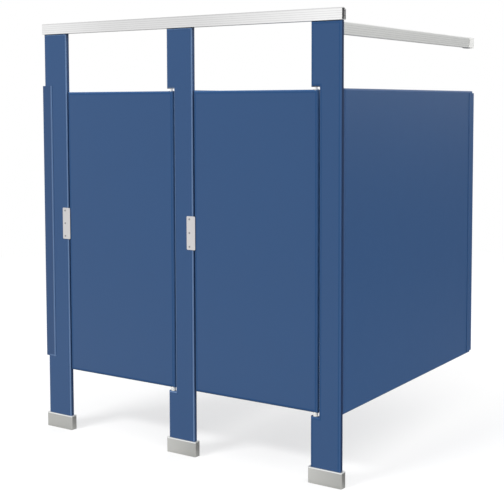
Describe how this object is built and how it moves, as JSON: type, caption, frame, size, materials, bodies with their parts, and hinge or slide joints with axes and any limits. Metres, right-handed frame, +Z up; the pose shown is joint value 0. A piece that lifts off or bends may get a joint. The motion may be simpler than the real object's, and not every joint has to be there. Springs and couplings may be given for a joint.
{
  "type": "toilet cubicle",
  "caption": "Overhead-braced double toilet cubicle with powder-coated steel doors, divider and end panel, notched pilasters on floor shoes, and aluminium headrails.",
  "frame": {"origin": "on the floor, at the middle of the footprint", "axes": "+X along the front to the right, +Y from the front to the rear wall, +Z up"},
  "size_m": [1.816, 1.53, 2.1607],
  "materials": {
    "blue_paint": "smooth satin powder coat",
    "honeycomb_core": "kraft-paper honeycomb, shown as a solid slab",
    "anodised_aluminium": "clear anodised extrusion, grooved along its face",
    "stainless_steel": "satin brushed stainless steel",
    "chromed_metal": "polished chrome plate",
    "nylon": "moulded nylon",
    "rubber": "matt rubber"
  },
  "bodies": {
    "frame": {"left_pilaster_front_sheet": "blue_paint", "left_pilaster_rear_sheet": "blue_paint", "left_pilaster_core": "honeycomb_core", "left_pilaster_edge_trim": "blue_paint", "mid_pilaster_front_sheet": "blue_paint", "mid_pilaster_rear_sheet": "blue_paint", "mid_pilaster_core": "honeycomb_core", "mid_pilaster_edge_trim": "blue_paint", "right_pilaster_front_sheet": "blue_paint", "right_pilaster_rear_sheet": "blue_paint", "right_pilaster_core": "honeycomb_core", "right_pilaster_edge_trim": "blue_paint", "divider_left_sheet": "blue_paint", "divider_right_sheet": "blue_paint", "divider_core": "honeycomb_core", "divider_edge_trim": "blue_paint", "end_panel_outer_sheet": "blue_paint", "end_panel_inner_sheet": "blue_paint", "end_panel_core": "honeycomb_core", "end_panel_edge_trim": "blue_paint", "front_headrail": "anodised_aluminium", "side_headrail": "anodised_aluminium", "headrail_wall_bracket": "stainless_steel", "side_rail_wall_saddle": "stainless_steel", "side_rail_pilaster_bracket": "stainless_steel", "left_wall_channel": "blue_paint", "divider_wall_channel": "blue_paint", "divider_front_channel": "blue_paint", "end_panel_wall_channel": "blue_paint", "end_panel_corner_angle": "blue_paint", "left_shoe": "stainless_steel", "mid_shoe": "stainless_steel", "right_shoe": "stainless_steel", "floor_brackets": "stainless_steel", "levelling_bolts": "stainless_steel", "keeper_1": "stainless_steel", "keeper_2": "stainless_steel", "keeper_bumpers": "rubber", "keeper_bolts": "stainless_steel", "fixing_screws": "stainless_steel", "hinge_pins": "chromed_metal", "hinge_fixed_cams": "nylon"},
    "door_1": {"door_1_front_sheet": "blue_paint", "door_1_rear_sheet": "blue_paint", "door_1_core": "honeycomb_core", "door_1_edge_trim": "blue_paint", "door_1_hinge_bush": "nylon", "door_1_hinge_cam": "nylon", "latch_case_1": "chromed_metal", "coat_hook_1": "chromed_metal"},
    "door_2": {"door_2_front_sheet": "blue_paint", "door_2_rear_sheet": "blue_paint", "door_2_core": "honeycomb_core", "door_2_edge_trim": "blue_paint", "door_2_hinge_bush": "nylon", "door_2_hinge_cam": "nylon", "latch_case_2": "chromed_metal", "coat_hook_2": "chromed_metal"},
    "bolt_1": {"latch_bolt_1": "chromed_metal"},
    "bolt_2": {"latch_bolt_2": "chromed_metal"}
  },
  "joints": [
    {"name": "door_1_swing", "type": "hinge", "parent": "frame", "child": "door_1", "pos_m": [-0.058, -0.745, 1.0645], "axis": [0, 0, -1], "range_deg": [0, 85], "stiffness_Nm_per_rad": 1.5},
    {"name": "door_2_swing", "type": "hinge", "parent": "frame", "child": "door_2", "pos_m": [0.761, -0.745, 1.0645], "axis": [0, 0, -1], "range_deg": [0, 90], "stiffness_Nm_per_rad": 1.5},
    {"name": "latch_1_slide", "type": "slide", "parent": "door_1", "child": "bolt_1", "axis": [-1, 0, 0], "range_m": [0, 0.025]},
    {"name": "latch_2_slide", "type": "slide", "parent": "door_2", "child": "bolt_2", "axis": [-1, 0, 0], "range_m": [0, 0.025]}
  ]
}
